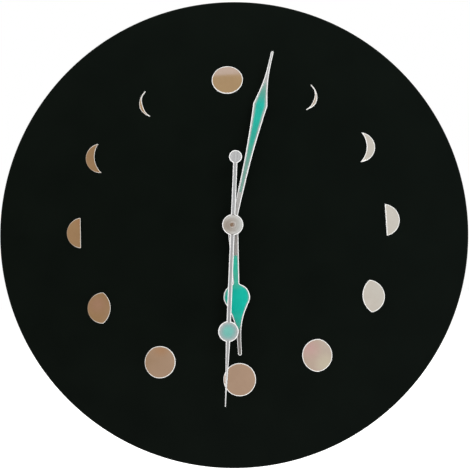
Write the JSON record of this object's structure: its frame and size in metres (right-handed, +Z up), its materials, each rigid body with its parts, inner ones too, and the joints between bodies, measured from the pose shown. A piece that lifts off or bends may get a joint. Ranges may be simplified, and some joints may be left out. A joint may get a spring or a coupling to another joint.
{
  "type": "wall clock",
  "caption": "Round frameless wall clock: black disc with mirror moon-phase hour marks, luminous hands on a common axis, and a battery quartz movement with a hanging eye behind.",
  "frame": {"origin": "on the hand axis, in the plane of the movement's rear cover, which lies on the wall", "axes": "+Z up to twelve, +Y out of the back into the wall, so the dial faces -Y and +X is at three o'clock"},
  "size_m": [0.3, 0.0305, 0.3],
  "materials": {
    "dial_black": "satin",
    "mirror_marks": "polished",
    "hand_silver": "satin",
    "lume": "matte",
    "lume_pale": "matte",
    "brass": "satin",
    "steel": "satin",
    "motor_iron": "satin",
    "rubber": "matte",
    "case_black": "satin",
    "white_plastic": "satin",
    "magnet": "satin",
    "copper": "satin",
    "board_green": "satin",
    "resin_black": "gloss",
    "cell_wrap": "satin"
  },
  "bodies": {
    "clock_body": {"dial_disc": "dial_black", "marker_12": "mirror_marks", "marker_1": "mirror_marks", "marker_2": "mirror_marks", "marker_3": "mirror_marks", "marker_4": "mirror_marks", "marker_5": "mirror_marks", "marker_6": "mirror_marks", "marker_7": "mirror_marks", "marker_8": "mirror_marks", "marker_9": "mirror_marks", "marker_10": "mirror_marks", "marker_11": "mirror_marks", "rubber_gasket": "rubber", "fixing_washer": "brass", "fixing_nut": "brass", "case_front": "case_black", "battery_bay": "case_black", "rear_cover": "case_black", "train_plate": "white_plastic", "stator": "motor_iron", "coil_core": "motor_iron", "coil_bobbin": "white_plastic", "coil_winding": "copper", "circuit_board": "board_green", "ic_blob": "resin_black", "quartz_crystal": "steel", "contact_positive": "steel", "contact_negative": "steel"},
    "hour_hand_set": {"hour_hand": "hand_silver", "hour_hand_lume": "lume", "hour_wheel": "white_plastic"},
    "minute_hand_set": {"minute_hand": "hand_silver", "minute_hand_lume": "lume", "minute_arbor": "brass"},
    "second_hand_set": {"second_hand": "hand_silver", "second_hand_lume": "lume_pale", "second_hand_tube": "brass", "second_arbor": "steel", "second_wheel": "white_plastic"},
    "day_wheel_set": {"day_wheel": "white_plastic"},
    "setting_knob_set": {"setting_knob": "white_plastic"},
    "centre_wheel_set": {"centre_wheel": "white_plastic"},
    "third_wheel_set": {"third_wheel": "white_plastic"},
    "intermediate_wheel_set": {"intermediate_wheel": "white_plastic"},
    "rotor_set": {"rotor_pinion": "white_plastic", "rotor_magnet": "magnet"},
    "battery": {"aa_cell": "cell_wrap"}
  },
  "joints": [
    {"name": "minute_hand_turn", "type": "hinge", "parent": "clock_body", "child": "minute_hand_set", "pos_m": [0, 0, 0], "axis": [0, 1, 0], "continuous": true},
    {"name": "hour_hand_turn", "type": "hinge", "parent": "clock_body", "child": "hour_hand_set", "pos_m": [0, 0, 0], "axis": [0, 1, 0], "continuous": true},
    {"name": "day_wheel_turn", "type": "hinge", "parent": "clock_body", "child": "day_wheel_set", "pos_m": [0.00451, 0, 0.00848], "axis": [0, 1, 0], "continuous": true},
    {"name": "setting_knob_turn", "type": "hinge", "parent": "clock_body", "child": "setting_knob_set", "pos_m": [0.01396, 0, 0.01014], "axis": [0, 1, 0], "continuous": true},
    {"name": "second_hand_turn", "type": "hinge", "parent": "clock_body", "child": "second_hand_set", "pos_m": [0, 0, 0], "axis": [0, 1, 0], "continuous": true},
    {"name": "third_wheel_turn", "type": "hinge", "parent": "clock_body", "child": "third_wheel_set", "pos_m": [0.00938, 0, -0.00165], "axis": [0, 1, 0], "continuous": true},
    {"name": "centre_wheel_turn", "type": "hinge", "parent": "clock_body", "child": "centre_wheel_set", "pos_m": [0, 0, 0], "axis": [0, 1, 0], "continuous": true},
    {"name": "intermediate_wheel_turn", "type": "hinge", "parent": "clock_body", "child": "intermediate_wheel_set", "pos_m": [-0.00873, 0, 0.00504], "axis": [0, 1, 0], "continuous": true},
    {"name": "rotor_turn", "type": "hinge", "parent": "clock_body", "child": "rotor_set", "pos_m": [-0.01387, 0, 0.01238], "axis": [0, 1, 0], "continuous": true},
    {"name": "battery_out", "type": "slide", "parent": "clock_body", "child": "battery", "axis": [0, 1, 0], "range_m": [0, 0.025]}
  ],
  "couplings": [
    {"joint": "hour_hand_turn", "follows": "minute_hand_turn", "ratio": 0.083333},
    {"joint": "day_wheel_turn", "follows": "minute_hand_turn", "ratio": -0.33333},
    {"joint": "setting_knob_turn", "follows": "minute_hand_turn", "ratio": 1},
    {"joint": "third_wheel_turn", "follows": "second_hand_turn", "ratio": -0.13333},
    {"joint": "centre_wheel_turn", "follows": "second_hand_turn", "ratio": 0.016667},
    {"joint": "intermediate_wheel_turn", "follows": "second_hand_turn", "ratio": -5},
    {"joint": "rotor_turn", "follows": "second_hand_turn", "ratio": 30}
  ]
}
